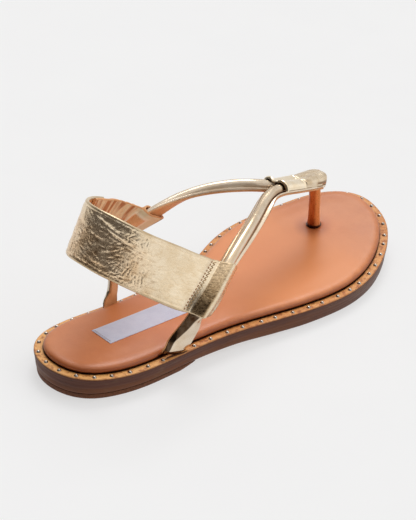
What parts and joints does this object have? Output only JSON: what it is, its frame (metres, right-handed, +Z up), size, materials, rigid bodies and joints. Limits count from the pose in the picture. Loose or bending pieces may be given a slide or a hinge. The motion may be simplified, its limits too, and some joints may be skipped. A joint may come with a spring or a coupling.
{
  "type": "toe post sandal",
  "caption": "Right toe post sandal: flat stacked sole, studded welt, padded footbed, piped straps joined by a metal sleeve over a toe post, and a wide heel band looped round both straps.",
  "frame": {"origin": "On the floor, under the middle of the shoe's length and width.", "axes": "+Y from the heel to the toe, +X to the outer (lateral) side of this right shoe, +Z up from the floor."},
  "size_m": [0.0942, 0.25, 0.09],
  "materials": {
    "sole_brown": "satin",
    "heel_rubber": "matte",
    "welt_tan": "satin",
    "footbed_tan": "satin",
    "gold_leather": "gloss",
    "band_leather": "gloss",
    "gold_elastic": "satin",
    "polished_metal": "gloss",
    "lining_tan": "satin",
    "stud_metal": "gloss",
    "label_cloth": "matte",
    "thread": "matte"
  },
  "bodies": {
    "root": {"outsole": "sole_brown", "heel_lift": "heel_rubber", "welt": "welt_tan", "footbed": "footbed_tan", "upper": "gold_leather", "sleeve": "polished_metal", "heel_band": "band_leather", "elastic_gore": "gold_elastic"}
  },
  "joints": []
}
